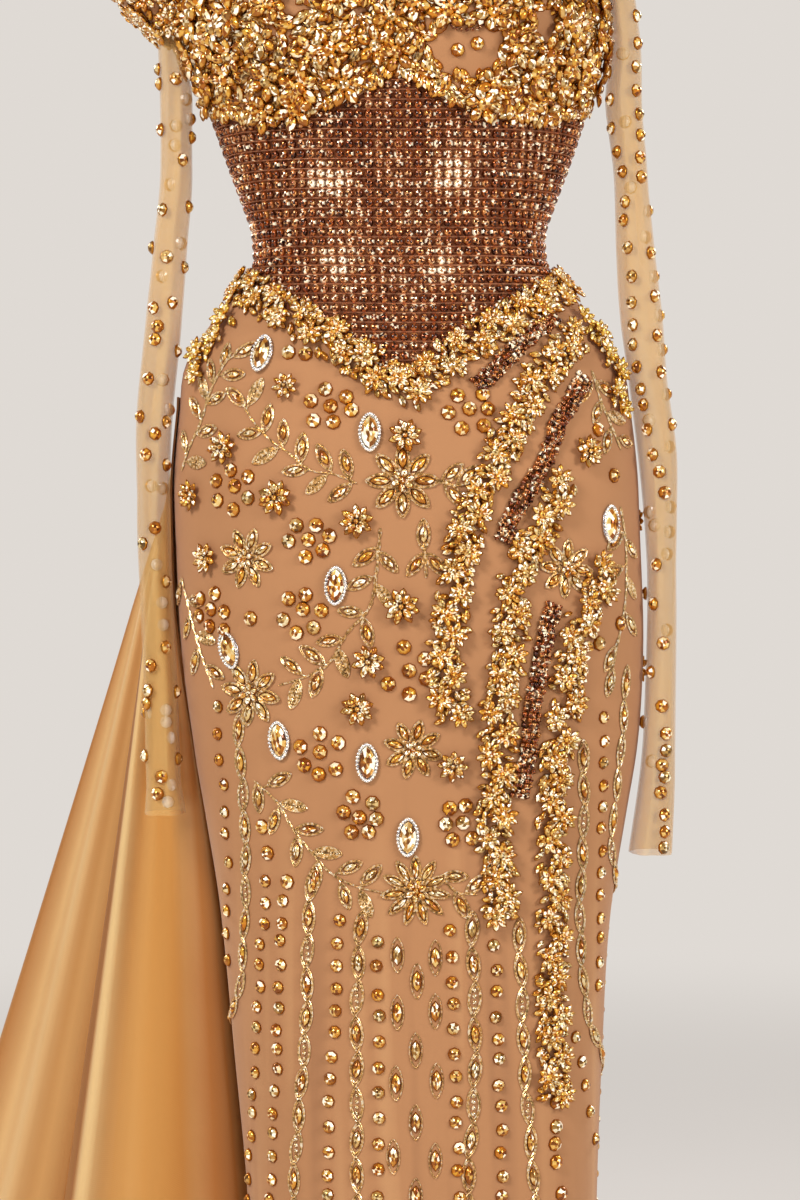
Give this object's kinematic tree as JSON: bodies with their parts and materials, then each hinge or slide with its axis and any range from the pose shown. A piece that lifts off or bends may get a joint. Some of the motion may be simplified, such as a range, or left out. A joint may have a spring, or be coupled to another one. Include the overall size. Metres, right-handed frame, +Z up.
{
  "type": "column evening dress",
  "caption": "Floor-length column evening dress: crystal bust cups, bronze mesh waist, beaded nude skirt, hanging sheer sleeves and a satin train.",
  "frame": {"origin": "middle of the waist, on the dress's upright line, where a wearer or a display holds it", "axes": "+Z up along the dress, -Y the front, +X the side to the right of a person who looks at the front; the train is on the -X side"},
  "size_m": [0.7765, 0.8298, 1.352],
  "materials": {
    "crystal": "faceted amber and champagne stones, densely sewn",
    "bronze_mesh": "rose-brown net covered with a square grid of small topaz stones",
    "bronze_stones": "dark topaz stones in close rows",
    "brooch_glass": "pale oval stone in a silver rim of small stones",
    "nude_mesh": "matt nude net",
    "satin": "soft gold satin",
    "tulle": "sheer beige tulle",
    "zip_tape": "woven tape"
  },
  "bodies": {
    "root": {"bust_cup_left": "crystal", "bust_cup_right": "crystal", "waist_panel_front": "bronze_mesh", "bodice_back_left": "bronze_mesh", "bodice_back_right": "bronze_mesh", "skirt_front": "nude_mesh", "skirt_back_left": "nude_mesh", "skirt_back_right": "nude_mesh", "back_zip": "zip_tape", "sleeve_left": "tulle", "sleeve_right": "tulle", "sleeve_head_left": "crystal", "sleeve_head_right": "crystal", "train": "satin", "waist_garland_front": "crystal", "waist_garland_back_left": "crystal", "waist_garland_back_right": "crystal", "hip_garland_left": "crystal", "hip_garland_right": "crystal", "cascade_inner": "crystal", "cascade_middle": "crystal", "cascade_outer": "crystal", "bronze_trail_upper": "bronze_stones", "bronze_trail_middle": "bronze_stones", "bronze_trail_lower": "bronze_stones", "brooch_1": "brooch_glass", "brooch_2": "brooch_glass", "brooch_3": "brooch_glass", "brooch_4": "brooch_glass", "brooch_5": "brooch_glass", "brooch_6": "brooch_glass", "brooch_7": "brooch_glass", "brooch_8": "brooch_glass", "rosette_1": "crystal", "rosette_2": "crystal", "rosette_3": "crystal", "rosette_4": "crystal", "rosette_5": "crystal", "rosette_6": "crystal", "rosette_7": "crystal", "rosette_8": "crystal", "rosette_9": "crystal", "rosette_10": "crystal", "rosette_11": "crystal", "rosette_12": "crystal"}
  },
  "joints": []
}
